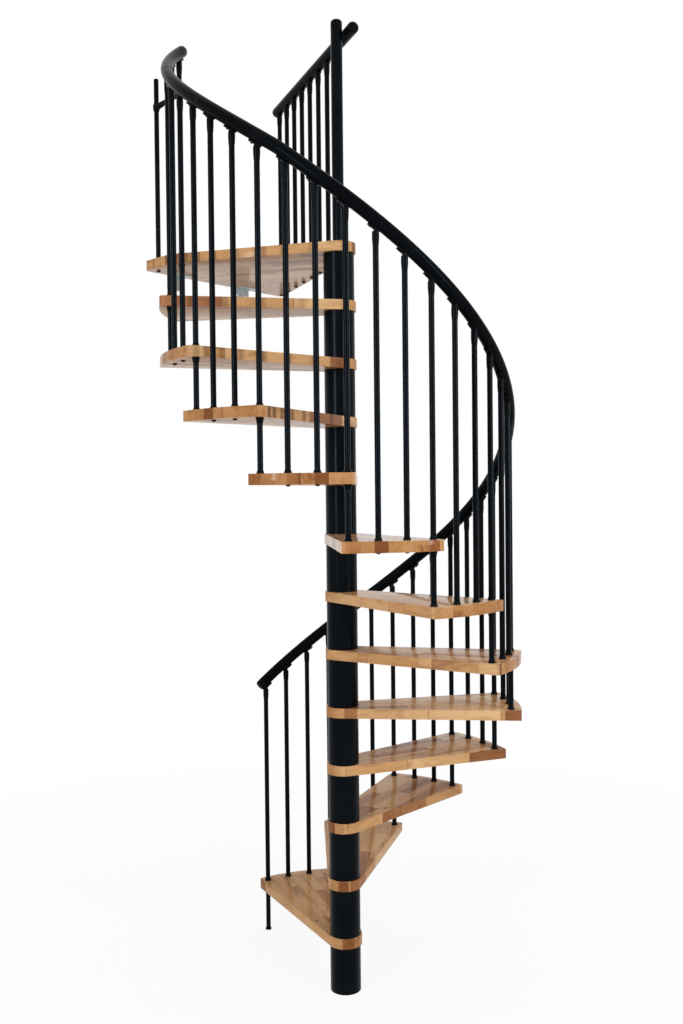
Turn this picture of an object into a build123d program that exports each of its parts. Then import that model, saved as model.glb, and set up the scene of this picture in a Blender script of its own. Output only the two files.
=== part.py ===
from build123d import *
from math import acos, atan2, cos, degrees, hypot, radians, sin, sqrt, tan
import os

os.makedirs("parts", exist_ok=True)

# Spiral staircase with a wooden tread on every step and a landing at the top.
# Millimetres, +Z up. The origin is on the floor, on the axis of the column, at the
# middle of the base plate's underside. Seen from above the stair climbs clockwise.
# Angles are in degrees from +X, counter-clockwise seen from above.

# Steps
tread_count = 12
first_rise = 220.0
rise = 225.0
going_angle = 26.25
start_angle = 122.0
tread_thickness = 38.0
edge_outside_balusters = 40.0
corner_rounding = 22.0

# Column
column_diameter = 120.0
column_wall = 3.0
hub_lip = 6.0
pole_diameter = 45.0
pole_wall = 3.5
pole_above_landing_rail = 18.0
pole_bore_clearance = 0.5
base_plate_thickness = 10.0
base_plate_clearance = 0.5
base_bolt_circle = 84.0
base_bolt_hole = 11.0
base_bolt_count = 4

# Balusters
balusters_per_tread = 3
baluster_circle_radius = 650.0
baluster_diameter = 20.0
nosing_beyond_baluster = 24.0
baluster_hole_clearance = 0.3
foot_diameter = 27.0
foot_height = 11.0
collar_diameter = 28.0
collar_lower_diameter = 22.4
collar_height = 20.0

# Handrail and the heads that carry it
rail_diameter = 45.0
rail_height = 900.0
rail_start_overrun = 13.0
rail_end_overrun = 17.0
rail_segment_count = 11
rail_flatter_segments = 3
rail_end_drop = 95.0
rail_joint_gap = 1.5
cap_rim = 14.0
cap_rounding = 12.0
cap_rounding_steps = 2
sleeve_diameter = 24.0
sleeve_length = 32.0
neck_length = 17.0
neck_height = 14.0
shoulder_height = 11.0
saddle_width = 18.0
saddle_thickness = 7.0
saddle_reach = 26.0
saddle_clearance = 0.3

# Landing
landing_facing = 137.9
landing_edge_distance = 770.0
landing_side_to_rail = 450.0
landing_side_to_stair = 350.0
landing_corner_rounding = 25.0
landing_baluster_count = 8
landing_baluster_spacing = 102.0
landing_first_baluster = 126.0
landing_rail_drop = 80.0
landing_rail_clearance = 2.5
landing_rail_past_pole = 40.0
landing_rail_past_baluster = 22.0
end_post_below_landing_rail = 75.0
end_post_inset_front = 45.0
end_post_inset_edge = 40.0
post_cap_rim = 1.0
post_cap_rounding = 5.0
clamp_below_post_top = 111.0
clamp_rise = 12.0
clamp_ring_wall = 4.0
clamp_ring_height = 33.0
clamp_arm_diameter = 24.0
clamp_clearance = 0.3
bracket_spacing = 375.0
bracket_width = 90.0
bracket_leg = 60.0
bracket_thickness = 4.0
bracket_screw_hole = 9.0
bracket_screw_spacing = 50.0

# Round pieces that repeat many times have flat sides, with their corners on the true diameter
column_sides = 18
rail_sides = 12
rod_sides = 8

# Sizes that follow from the ones above
baluster_step_angle = going_angle / balusters_per_tread
baluster_step_rise = rise / balusters_per_tread
tread_edge_radius = baluster_circle_radius + edge_outside_balusters
column_radius = column_diameter / 2
column_bore_radius = column_radius - column_wall
hub_radius = column_radius + hub_lip
baluster_radius = baluster_diameter / 2
pole_radius = pole_diameter / 2
rail_radius = rail_diameter / 2
sleeve_radius = sleeve_diameter / 2
baluster_hole_radius = baluster_radius + baluster_hole_clearance
last_baluster = tread_count * balusters_per_tread
landing_top = first_rise + tread_count * rise
landing_underside = landing_top - tread_thickness
landing_rail_z = landing_top + rail_height - landing_rail_drop
pole_top = landing_rail_z + pole_above_landing_rail
baluster_spacing = radians(baluster_step_angle) * baluster_circle_radius
corner_angle = degrees(nosing_beyond_baluster / tread_edge_radius)


def tread_top(number):
    """Height of a tread's top, counted from 1; the landing is one past the last tread."""
    return first_rise + (number - 1) * rise


def baluster_angle(index):
    """Direction of a stair baluster, counted from 0 at the floor."""
    return start_angle - index * baluster_step_angle


def polar(radius, angle, height=0.0):
    """Point at a radius and an angle round the column's axis."""
    return Vector(radius * cos(radians(angle)), radius * sin(radians(angle)), height)


def save(name, *solids):
    """Write one node from its solids."""
    shape = solids[0] if len(solids) == 1 else Compound(children=list(solids))
    export_step(shape, "parts/" + name + ".step")


def board(corners, hub_start, hub_end, roundings, outer_arc_radius=None):
    """Board whose straight sides run on to the hub as tangents, from corners in clockwise order."""
    hub_turn = (hub_end - hub_start) % 360
    hub_facets = round(hub_turn / 360 * column_sides)
    facet_angle = hub_turn / hub_facets
    hub_points = [polar(hub_radius, hub_start + facet_angle * facet) for facet in range(hub_facets + 1)]
    lines = [Line(hub_points[0], corners[0])]
    for first, second in zip(corners, corners[1:]):
        if outer_arc_radius:
            middle_angle = degrees(atan2(first.Y + second.Y, first.X + second.X))
            lines.append(ThreePointArc(first, polar(outer_arc_radius, middle_angle), second))
        else:
            lines.append(Line(first, second))
    lines.append(Line(corners[-1], hub_points[-1]))
    lines.append(Polyline(*hub_points))
    outline = make_face(lines)
    for corner, rounding in zip(corners, roundings):
        nearest = outline.vertices().sort_by_distance(corner)[0]
        outline = fillet(nearest, rounding)
    return extrude(outline, tread_thickness)


def tangent_angle(corner, side):
    """Angle on the hub where the tangent from a corner touches it, on the given side."""
    reach = hypot(corner.X, corner.Y)
    return degrees(atan2(corner.Y, corner.X)) + side * degrees(acos(hub_radius / reach))


def prism(radius, sides, bottom, top):
    """Upright bar with flat sides and its corners on a radius."""
    return Pos(0, 0, bottom) * extrude(RegularPolygon(radius, sides), top - bottom)


def turned(sides, *stations):
    """Upright turned piece with flat sides, straight between its stations of height and radius."""
    rings = []
    for height, radius in stations:
        rings.append([polar(radius, 360 * corner / sides, height) for corner in range(sides)])
    faces = [make_face(Polyline(*ring, close=True)) for ring in (rings[0], rings[-1])]
    for lower, upper in zip(rings, rings[1:]):
        for corner in range(sides):
            before = corner - 1
            edge = Polyline(lower[before], lower[corner], upper[corner], upper[before], close=True)
            faces.append(make_face(edge))
    return Solid(Shell(faces))


def pole_bore():
    """Hole for the centre pole through a board."""
    radius = pole_radius + pole_bore_clearance
    return prism(radius, rail_sides, -tread_thickness, 2 * tread_thickness)


def baluster_hole(point):
    """Hole for a baluster that passes through a board's nosing."""
    hole = prism(baluster_hole_radius, rod_sides, -tread_thickness, 2 * tread_thickness)
    return Pos(point.X, point.Y, 0) * hole


def tread(number):
    """Tapered tread with a round hub, its nosing drilled for the long baluster."""
    nosing = baluster_angle((number - 1) * balusters_per_tread)
    back = baluster_angle(number * balusters_per_tread)
    corners = [
        polar(tread_edge_radius, nosing + corner_angle),
        polar(tread_edge_radius, back - corner_angle),
    ]
    hub_start = tangent_angle(corners[0], 1)
    hub_end = tangent_angle(corners[1], -1)
    solid = board(corners, hub_start, hub_end, [corner_rounding] * 2, tread_edge_radius)
    solid -= pole_bore()
    solid -= baluster_hole(polar(baluster_circle_radius, nosing))
    return Pos(0, 0, tread_top(number) - tread_thickness) * solid


# The landing's straight outer edge faces away from the column, against the upper floor.
edge_normal = polar(1, landing_facing)
edge_along = polar(1, landing_facing - 90)
landing_rail_corner = edge_normal * landing_edge_distance + edge_along * landing_side_to_rail
landing_stair_corner = edge_normal * landing_edge_distance - edge_along * landing_side_to_stair
landing_nosing_corner = polar(tread_edge_radius, baluster_angle(last_baluster) + corner_angle)


def landing():
    """Landing board with its hub, drilled for the pole and the last long baluster."""
    corners = [landing_nosing_corner, landing_stair_corner, landing_rail_corner]
    roundings = [landing_corner_rounding] * 3
    hub_start = tangent_angle(corners[0], 1)
    hub_end = tangent_angle(corners[-1], -1)
    solid = board(corners, hub_start, hub_end, roundings)
    solid -= pole_bore()
    solid -= baluster_hole(polar(baluster_circle_radius, baluster_angle(last_baluster)))
    return Pos(0, 0, landing_underside) * solid


def base_plate():
    """Round plate under the pole, inside the lowest column tube, with its floor bolts' holes."""
    radius = column_bore_radius * cos(radians(180 / column_sides)) - base_plate_clearance
    plate = prism(radius, column_sides, 0, base_plate_thickness)
    hole = Cylinder(base_bolt_hole / 2, 3 * base_plate_thickness)
    for place in PolarLocations(base_bolt_circle / 2, base_bolt_count, 45):
        plate -= place * hole
    return plate


def column_tubes():
    """Tubes that carry the first tread, each next tread and the landing."""
    tubes = []
    for number in range(1, tread_count + 2):
        bottom = tread_top(number - 1) if number > 1 else 0.0
        top = tread_top(number) - tread_thickness
        outside = prism(column_radius, column_sides, bottom, top)
        tubes.append(outside - prism(column_bore_radius, column_sides, bottom, top))
    return tubes


def centre_pole():
    """Tube through the whole column, up past the landing's rail."""
    outside = prism(pole_radius, rail_sides, base_plate_thickness, pole_top)
    return outside - prism(pole_radius - pole_wall, rail_sides, base_plate_thickness, pole_top)


def cap(radius, sides, rim, rounding):
    """Plug on a round end: a short rim and a rounded edge round a flat top."""
    stations = [(0, radius)]
    for step in range(cap_rounding_steps + 1):
        turn = radians(90 * step / cap_rounding_steps)
        stations.append((rim + rounding * sin(turn), radius - rounding * (1 - cos(turn))))
    return turned(sides, *stations)


def baluster(point, bottom, top):
    """Round baluster with its flared foot standing at the given height."""
    stations = [(0, foot_diameter / 2), (foot_height, baluster_radius), (top - bottom, baluster_radius)]
    return Pos(point.X, point.Y, bottom) * turned(rod_sides, *stations)


def nosing_collars(point, top):
    """Flared ring on the nosing and the deeper cup under it, round a long baluster."""
    hole = prism(baluster_hole_radius, rod_sides, -collar_height, foot_height)
    ring = turned(rod_sides, (0, foot_diameter / 2), (foot_height, collar_lower_diameter / 2)) - hole
    cup = turned(rod_sides, (-collar_height, collar_lower_diameter / 2), (0, collar_diameter / 2)) - hole
    return [Pos(point.X, point.Y, top) * ring, Pos(point.X, point.Y, top - tread_thickness) * cup]


def neck_drop(slope):
    """Height from the rail's centre line down to the top of a baluster's sleeve."""
    return (rail_radius + saddle_clearance + saddle_thickness) / cos(radians(slope)) + neck_height


def head(point, rail_centre_height, direction, slope):
    """Sleeve on a baluster's top, cut back to a neck that carries the saddle under the rail."""
    slant = tan(radians(slope))
    sleeve_top = rail_centre_height - neck_drop(slope)
    sleeve_foot = sleeve_top - sleeve_length
    saddle_foot = sleeve_top + neck_height
    saddle_top = saddle_foot + saddle_thickness / cos(radians(slope))
    neck_side = neck_length - sleeve_radius
    neck_outline = make_face(
        Polyline(
            (-sleeve_radius, sleeve_foot),
            (sleeve_radius, sleeve_foot),
            (sleeve_radius, sleeve_top),
            (neck_side, sleeve_top + shoulder_height),
            (neck_side, saddle_top + neck_side * slant),
            (-sleeve_radius, saddle_top - sleeve_radius * slant),
            close=True,
        )
    )
    saddle_outline = make_face(
        Polyline(
            (-sleeve_radius, saddle_foot - sleeve_radius * slant),
            (saddle_reach, saddle_foot + saddle_reach * slant),
            (saddle_reach, saddle_top + saddle_reach * slant),
            (-sleeve_radius, saddle_top - sleeve_radius * slant),
            close=True,
        )
    )
    sleeve = prism(sleeve_radius, rod_sides, sleeve_foot, saddle_top + sleeve_diameter)
    neck = sleeve & extrude(Plane.XZ * neck_outline, sleeve_diameter, both=True)
    saddle = extrude(Plane.XZ * saddle_outline, saddle_width / 2, both=True)
    return Pos(point.X, point.Y, 0) * Rot(0, 0, direction) * (neck + saddle)


def sleeve_bottom(rail_centre_height, slope):
    """Height where a baluster's rod ends and its sleeve begins."""
    return rail_centre_height - neck_drop(slope) - sleeve_length


# Places along the stair rail are counted in balusters. Its top segments climb less steeply
# than the treads, so that it arrives near the landing rail's height.
rail_start = -rail_start_overrun / baluster_spacing
rail_end = last_baluster + rail_end_overrun / baluster_spacing
segment_run = (rail_end - rail_start) / rail_segment_count
flatter_from = rail_end - rail_flatter_segments * segment_run
flatter_step_rise = baluster_step_rise - rail_end_drop / (last_baluster - flatter_from)


def rail_step_rise(index):
    """Climb of the stair rail from one baluster to the next, near a place."""
    return flatter_step_rise if index > flatter_from else baluster_step_rise


def rail_slope(index):
    """Angle of the stair rail above level, near a place."""
    return degrees(atan2(rail_step_rise(index), baluster_spacing))


def rail_line_height(index):
    """Height of the stair rail's centre line at a place."""
    lost = max(0, index - flatter_from) * (baluster_step_rise - flatter_step_rise)
    return first_rise + rail_height + index * baluster_step_rise - lost


def rail_place(index, slope):
    """Plane across the stair rail at a place, its Z pointing uphill at the slope."""
    angle = baluster_angle(index)
    uphill = polar(cos(radians(slope)), angle - 90, sin(radians(slope)))
    point = polar(baluster_circle_radius, angle, rail_line_height(index))
    return Plane(point, x_dir=polar(1, angle), z_dir=uphill)


def rail_segment(start, end):
    """Piece of the helical stair rail between two places."""
    middle = (start + end) / 2
    turn_rise = 360 / baluster_step_angle * rail_step_rise(middle)
    climb = rail_line_height(end) - rail_line_height(start)
    path = Helix(turn_rise, climb, baluster_circle_radius, lefthand=True)
    path = Pos(0, 0, rail_line_height(start)) * Rot(0, 0, baluster_angle(start)) * path
    section = rail_place(start, rail_slope(middle)) * RegularPolygon(rail_radius, rail_sides)
    return sweep(section, path=path, is_frenet=True)


def handrail():
    """Stair rail in equal segments that meet at narrow joints."""
    half_gap = rail_joint_gap / 2 / baluster_spacing
    segments = []
    for number in range(rail_segment_count):
        start = rail_start + number * segment_run + (half_gap if number else 0)
        end = rail_start + (number + 1) * segment_run
        end -= half_gap if number < rail_segment_count - 1 else 0
        segments.append(rail_segment(start, end))
    return segments


# The landing rail and its balusters stand on a line beside the pole, parallel to the
# landing's side from the hub to its far corner.
side_tangent = tangent_angle(landing_rail_corner, -1)
landing_rail_offset = pole_radius + rail_radius + landing_rail_clearance
landing_rail_direction = side_tangent + 90


def landing_line(distance):
    """Point on the landing's baluster line, at a distance from the column's axis."""
    return polar(landing_rail_offset, side_tangent) + polar(distance, landing_rail_direction)


landing_baluster_places = [
    landing_first_baluster + number * landing_baluster_spacing for number in range(landing_baluster_count)
]
landing_rail_from = -landing_rail_past_pole
landing_rail_to = landing_baluster_places[-1] + landing_rail_past_baluster


def landing_rail_place(distance, outward):
    """Plane across the landing rail, its Z pointing along the rail or back."""
    point = landing_line(distance)
    way = polar(outward, landing_rail_direction)
    return Plane(Vector(point.X, point.Y, landing_rail_z), x_dir=(0, 0, 1), z_dir=way)


def landing_rail():
    """Straight level rail of the landing."""
    length = landing_rail_to - landing_rail_from
    section = landing_rail_place(landing_rail_from, 1) * RegularPolygon(rail_radius, rail_sides)
    return extrude(section, length)


def rail_end_caps():
    """Round plugs on the four ends of the two rails."""
    start_place = rail_place(rail_start, rail_slope(rail_start))
    downhill = Plane(start_place.origin, x_dir=start_place.x_dir, z_dir=start_place.z_dir * -1)
    places = [
        downhill,
        rail_place(rail_end, rail_slope(rail_end)),
        landing_rail_place(landing_rail_from, -1),
        landing_rail_place(landing_rail_to, 1),
    ]
    plug = cap(rail_radius, rail_sides, cap_rim, cap_rounding)
    return [place * plug for place in places]


# The end post stands by the landing's stair corner, set in from its two edges there.
front_way = (landing_stair_corner - landing_nosing_corner).normalized()
front_inward = Vector(front_way.Y, -front_way.X, 0)
front_edge_cosine = front_inward.dot(edge_normal * -1)
end_post_along = (end_post_inset_front - end_post_inset_edge * front_edge_cosine) / sqrt(
    1 - front_edge_cosine**2
)
end_post_point = landing_stair_corner - edge_normal * end_post_inset_edge + edge_along * end_post_along
last_long_point = polar(baluster_circle_radius, baluster_angle(last_baluster))


end_post_top = landing_rail_z - end_post_below_landing_rail


def end_post():
    """Post at the open corner of the landing, with its flared foot and rounded top."""
    shaft = baluster(end_post_point, landing_top, end_post_top)
    place = Pos(end_post_point.X, end_post_point.Y, end_post_top)
    return shaft + place * cap(baluster_radius, rod_sides, post_cap_rim, post_cap_rounding)


def end_post_clamp():
    """Two rings with a thick arm between them, which tie the end post to the last long baluster."""
    hole_radius = baluster_radius + clamp_clearance
    clamp_z = end_post_top - clamp_below_post_top
    low = Vector(end_post_point.X, end_post_point.Y, clamp_z)
    high = Vector(last_long_point.X, last_long_point.Y, clamp_z + clamp_rise)
    way = high - low
    across = Plane(low, x_dir=way.cross(Vector(0, 0, 1)), z_dir=way)
    clamp = extrude(across * RegularPolygon(clamp_arm_diameter / 2, rod_sides), way.length)
    reach = clamp_ring_height / 2
    for centre in (low, high):
        ring = prism(hole_radius + clamp_ring_wall, rod_sides, -reach, reach)
        clamp += Pos(centre) * ring
    for centre in (low, high):
        clamp -= Pos(centre) * prism(hole_radius, rod_sides, -2 * reach, 2 * reach)
    return clamp


def landing_bracket(along):
    """Angle bracket under the landing's outer edge, drilled for screws into the floor's edge."""
    profile = make_face(
        Polyline(
            (0, 0),
            (-bracket_leg, 0),
            (-bracket_leg, -bracket_thickness),
            (-bracket_thickness, -bracket_thickness),
            (-bracket_thickness, -bracket_leg),
            (0, -bracket_leg),
            close=True,
        )
    )
    angle = extrude(Plane.XZ * profile, bracket_width / 2, both=True)
    face_hole = Rot(0, 90, 0) * Cylinder(bracket_screw_hole / 2, 4 * bracket_thickness)
    leg_hole = prism(bracket_screw_hole / 2, rod_sides, -2 * bracket_thickness, 2 * bracket_thickness)
    middle = (bracket_leg + bracket_thickness) / 2
    for side in (-bracket_screw_spacing / 2, bracket_screw_spacing / 2):
        angle -= Pos(-bracket_thickness / 2, side, -middle) * face_hole
        angle -= Pos(-middle, side, -bracket_thickness / 2) * leg_hole
    point = edge_normal * landing_edge_distance + edge_along * along
    return Pos(point.X, point.Y, landing_underside) * Rot(0, 0, landing_facing) * angle


# Column
save("base_plate", base_plate())
save("centre_pole", centre_pole())
save("pole_cap", Pos(0, 0, pole_top) * cap(pole_radius, rail_sides, cap_rim, cap_rounding))
save("column_tubes", *column_tubes())

# Treads and landing
for number in range(1, tread_count + 1):
    save(f"tread_{number:02d}", tread(number))
save("landing", landing())

# Balusters: every third one is long, passes through a nosing and stands on the step below
long_balusters = []
short_balusters = []
heads = []
collars = []
for index in range(last_baluster + 1):
    point = polar(baluster_circle_radius, baluster_angle(index))
    steps_below = index // balusters_per_tread
    slope = rail_slope(index)
    rod_top = sleeve_bottom(rail_line_height(index), slope)
    if index % balusters_per_tread == 0:
        foot = tread_top(steps_below) if steps_below else 0.0
        long_balusters.append(baluster(point, foot, rod_top))
        collars += nosing_collars(point, tread_top(steps_below + 1))
    else:
        short_balusters.append(baluster(point, tread_top(steps_below + 1), rod_top))
    heads.append(head(point, rail_line_height(index), baluster_angle(index) - 90, slope))
save("long_balusters", *long_balusters)
save("short_balusters", *short_balusters)
save("baluster_heads", *heads)
save("nosing_collars", *collars)

# Handrails
save("handrail", *handrail())
save("landing_rail", landing_rail())
save("rail_end_caps", *rail_end_caps())

# Landing's balusters, end post and brackets
landing_balusters = []
landing_heads = []
for distance in landing_baluster_places:
    point = landing_line(distance)
    landing_balusters.append(baluster(point, landing_top, sleeve_bottom(landing_rail_z, 0)))
    landing_heads.append(head(point, landing_rail_z, landing_rail_direction, 0))
save("landing_balusters", *landing_balusters)
save("landing_heads", *landing_heads)
save("end_post", end_post())
save("end_post_clamp", end_post_clamp())
save("landing_brackets", *[landing_bracket(side * bracket_spacing / 2) for side in (-1, 1)])
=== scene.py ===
from math import acos, atan2, ceil, cos, degrees, hypot, pi, radians, sin, tan

import bmesh
import bpy
from mathutils import Matrix, Vector

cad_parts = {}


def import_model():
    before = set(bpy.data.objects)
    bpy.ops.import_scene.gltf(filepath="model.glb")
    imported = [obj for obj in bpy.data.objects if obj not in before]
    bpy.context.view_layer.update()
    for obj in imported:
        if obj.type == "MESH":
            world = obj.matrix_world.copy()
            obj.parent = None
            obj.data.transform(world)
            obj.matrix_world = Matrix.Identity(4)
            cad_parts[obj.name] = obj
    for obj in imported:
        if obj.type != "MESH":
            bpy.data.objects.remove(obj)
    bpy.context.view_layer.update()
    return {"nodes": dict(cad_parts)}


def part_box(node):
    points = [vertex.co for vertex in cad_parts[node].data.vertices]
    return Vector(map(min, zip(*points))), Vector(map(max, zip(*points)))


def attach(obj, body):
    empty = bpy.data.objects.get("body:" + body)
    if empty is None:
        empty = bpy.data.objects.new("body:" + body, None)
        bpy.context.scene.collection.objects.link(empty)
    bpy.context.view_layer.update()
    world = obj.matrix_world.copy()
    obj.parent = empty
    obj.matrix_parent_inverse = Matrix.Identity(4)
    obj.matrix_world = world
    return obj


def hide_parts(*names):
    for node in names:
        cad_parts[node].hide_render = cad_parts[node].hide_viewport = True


# Spiral staircase: glued wooden treads and a landing on a black column, with black balusters,
# a helical handrail and a straight landing rail. Metres, +Z up, the column's axis at the origin.
# The stair climbs clockwise seen from above. Angles are degrees from +X, counter-clockwise.
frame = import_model()

# Steps
TREADS = 12
FIRST_RISE = 0.220
RISE = 0.225
GOING = 26.25
START_ANGLE = 122.0
THICKNESS = 0.038
BALUSTERS_PER_TREAD = 3
BALUSTER_CIRCLE = 0.650
TREAD_EDGE = BALUSTER_CIRCLE + 0.040
NOSING_BEYOND_BALUSTER = 0.024
TREAD_CORNER_ROUNDING = 0.022
BOARD_EDGE_ROUNDING = 0.004
SLAB_SIDES = 360
HUB_SIDES = 120

# Column and pole
COLUMN_RADIUS = 0.060
COLUMN_WALL = 0.003
HUB_RADIUS = COLUMN_RADIUS + 0.006
POLE_RADIUS = 0.0225
BASE_PLATE_THICKNESS = 0.010
TUBE_ROUNDING = 0.0006

# Balusters, feet, collars and heads
ROD_RADIUS = 0.010
FOOT_RADIUS = 0.0135
FOOT_HEIGHT = 0.011
COLLAR_RADIUS = 0.014
COLLAR_LOWER_RADIUS = 0.0112
COLLAR_HEIGHT = 0.020
SLEEVE_RADIUS = 0.012
SLEEVE_LENGTH = 0.032
SLEEVE_ROUNDING = 0.0008
NECK_LENGTH = 0.017
NECK_HEIGHT = 0.014
NECK_ROUNDING = 0.0006
SHOULDER_HEIGHT = 0.011
SADDLE_WIDTH = 0.018
SADDLE_THICKNESS = 0.007
SADDLE_REACH = 0.026
SADDLE_CLEARANCE = 0.0003
SADDLE_ROUNDING = 0.0012
SADDLE_SCREW_UPHILL = 0.019
ROUND_SIDES = 32

# Rails
RAIL_RADIUS = 0.0225
RAIL_HEIGHT = 0.900
RAIL_START_OVERRUN = 0.013
RAIL_END_OVERRUN = 0.017
RAIL_SEGMENTS = 11
RAIL_FLATTER_SEGMENTS = 3
RAIL_END_DROP = 0.095
RAIL_JOINT_GAP = 0.0004
NEAR_JOINT = 0.1
RAIL_ROUNDING = 0.0009
RAIL_SIDES = 48
RAIL_DEGREES_PER_STEP = 1.5
CAP_RIM = 0.014
CAP_ROUNDING = 0.012
CAP_GROOVE = 0.0008

# Landing
LANDING_FACING = 137.9
LANDING_EDGE = 0.770
SIDE_TO_RAIL = 0.450
SIDE_TO_STAIR = 0.350
LANDING_CORNER_ROUNDING = 0.025
LANDING_SLAB = 2.4
LANDING_BALUSTERS = 8
LANDING_SPACING = 0.102
LANDING_FIRST = 0.126
LANDING_RAIL_DROP = 0.080
LANDING_RAIL_CLEARANCE = 0.0025
RAIL_PAST_POLE = 0.040
RAIL_PAST_BALUSTER = 0.022
END_POST_BELOW_RAIL = 0.075
END_POST_INSET_FRONT = 0.045
END_POST_INSET_EDGE = 0.040
CLAMP_BELOW_POST_TOP = 0.111
CLAMP_RISE = 0.012
CLAMP_RING_RADIUS = 0.0143
CLAMP_RING_HEIGHT = 0.033
CLAMP_ARM_RADIUS = 0.012
CLAMP_ARM_WAIST = 0.82
BRACKET_SPACING = 0.375
BRACKET_LEG = 0.060
BRACKET_THICKNESS = 0.004
BRACKET_SCREW_SPACING = 0.050

# Glued staves of the boards
STAVE_WIDTH = 0.046
STAVE_LENGTH = 0.29

# Finishes
WOOD_GRAIN_DEPTH = 0.00012
ZINC_GRAIN_DEPTH = 0.0001
BLACK_GRAIN_DEPTH = 0.00001
BLACK_SHEEN_TINT = (0.66, 0.84, 1.0, 1.0)
RUBBED_LIGHTER = 1.8

# Tones in the wood
HEARTWOOD = (0.30, 0.125, 0.055, 1)
KNOT = (0.17, 0.065, 0.028, 1)
PORE = (0.30, 0.13, 0.05, 1)
GLUE = (0.20, 0.09, 0.04, 1)
SOAKED = (0.66, 0.52, 0.40, 1)

# Studio
FLOOR_SIZE = 60
PALE_GREY = (0.86, 0.86, 0.86, 1)
WHITE = (1, 1, 1, 1)
WORLD_STRENGTH = 0.5
COOL_LIGHT = (0.88, 0.95, 1.0)
STRIP_SIZE = (0.11, 2.2)
BOX_SIZE = (3.0, 3.0)

# Camera, from a fit to the feet of the balusters in the photograph
PHOTO_HEIGHT = 1024
FOCAL_PIXELS = 1012.78
CAMERA_AWAY = 3.959
CAMERA_HEIGHT = 1.9557
CAMERA_PITCH = 1.115
CAMERA_ROLL = 0.578
CAMERA_YAW = -0.02
SENSOR = 36.0

# Sizes that follow
STEP_ANGLE = GOING / BALUSTERS_PER_TREAD
STEP_RISE = RISE / BALUSTERS_PER_TREAD
LAST = TREADS * BALUSTERS_PER_TREAD
LANDING_TOP = FIRST_RISE + TREADS * RISE
LANDING_UNDER = LANDING_TOP - THICKNESS
LANDING_RAIL_Z = LANDING_TOP + RAIL_HEIGHT - LANDING_RAIL_DROP
END_POST_TOP = LANDING_RAIL_Z - END_POST_BELOW_RAIL
CLAMP_Z = END_POST_TOP - CLAMP_BELOW_POST_TOP
POLE_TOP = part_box("centre_pole")[1][2]
SPACING = radians(STEP_ANGLE) * BALUSTER_CIRCLE
CORNER_ANGLE = degrees(NOSING_BEYOND_BALUSTER / TREAD_EDGE)
RAIL_START = -RAIL_START_OVERRUN / SPACING
RAIL_END = LAST + RAIL_END_OVERRUN / SPACING
SEGMENT_RUN = (RAIL_END - RAIL_START) / RAIL_SEGMENTS
FLATTER_FROM = RAIL_END - RAIL_FLATTER_SEGMENTS * SEGMENT_RUN
FLATTER_RISE = STEP_RISE - RAIL_END_DROP / (LAST - FLATTER_FROM)
STEEP_SLOPE = atan2(STEP_RISE, SPACING)
FLATTER_SLOPE = atan2(FLATTER_RISE, SPACING)
SMOOTH_ANGLE = radians(32)


def polar(radius, angle, height=0.0):
    """Point at a radius and an angle in degrees round the column's axis."""
    return Vector((radius * cos(radians(angle)), radius * sin(radians(angle)), height))


def tread_top(number):
    """Height of a tread's top, counted from 1; the landing is one past the last tread."""
    return FIRST_RISE + (number - 1) * RISE


def baluster_angle(index):
    """Direction of a stair baluster, counted from 0 at the floor."""
    return START_ANGLE - index * STEP_ANGLE


def baluster_point(index, height):
    """Point on a stair baluster's line."""
    return polar(BALUSTER_CIRCLE, baluster_angle(index), height)


def rail_slope(index):
    """Slope of the stair rail at a place counted in balusters; its top segments are flatter."""
    return FLATTER_SLOPE if index > FLATTER_FROM else STEEP_SLOPE


def rail_line(index):
    """Height of the stair rail's centre line at a place."""
    lost = max(0, index - FLATTER_FROM) * (STEP_RISE - FLATTER_RISE)
    return FIRST_RISE + RAIL_HEIGHT + index * STEP_RISE - lost


def rail_point(index):
    """Point on the stair rail's centre line."""
    return polar(BALUSTER_CIRCLE, baluster_angle(index), rail_line(index))


def rail_way(index, slope):
    """Uphill direction of the stair rail at a place."""
    return polar(cos(slope), baluster_angle(index) - 90, sin(slope))


def neck_drop(slope):
    """Height from the rail's centre line down to the top of a baluster's sleeve."""
    return (RAIL_RADIUS + SADDLE_CLEARANCE + SADDLE_THICKNESS) / cos(slope) + NECK_HEIGHT


def sleeve_foot(rail_height, slope):
    """Height where a baluster's rod ends and its sleeve begins."""
    return rail_height - neck_drop(slope) - SLEEVE_LENGTH


def upright(point, turn=0.0):
    """Place of an upright piece, turned about Z by an angle in degrees."""
    return Matrix.Translation(point) @ Matrix.Rotation(radians(turn), 4, "Z")


# Modelling helpers


def active():
    """Object made or opened last."""
    return bpy.context.view_layer.objects.active


def deselect():
    bpy.ops.object.select_all(action="DESELECT")


def choose(*pieces):
    """Select these objects only, with the first one active."""
    deselect()
    for piece in pieces:
        piece.select_set(True)
    bpy.context.view_layer.objects.active = pieces[0]


def enter_edit(piece, mode):
    """Open a piece in edit mode with nothing selected."""
    choose(piece)
    bpy.ops.object.mode_set(mode="EDIT")
    bpy.ops.mesh.select_mode(type=mode)
    bpy.ops.mesh.select_all(action="DESELECT")


def leave_edit():
    bpy.ops.object.mode_set(mode="OBJECT")


def pick_faces(piece, test):
    """Select the faces whose middle and normal pass a test, in edit mode."""
    shape = bmesh.from_edit_mesh(piece.data)
    for face in shape.faces:
        face.select = test(face.calc_center_median(), face.normal)
    bmesh.update_edit_mesh(piece.data)


def pick_edges(piece, test):
    """Select the edges whose two ends pass a test, in edit mode."""
    shape = bmesh.from_edit_mesh(piece.data)
    for edge in shape.edges:
        edge.select = test(edge.verts[0].co, edge.verts[1].co)
    bmesh.update_edit_mesh(piece.data)


def apply_place(piece):
    """Move a piece's place into its mesh."""
    choose(piece)
    bpy.ops.object.transform_apply(location=True, rotation=True, scale=True)


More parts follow.
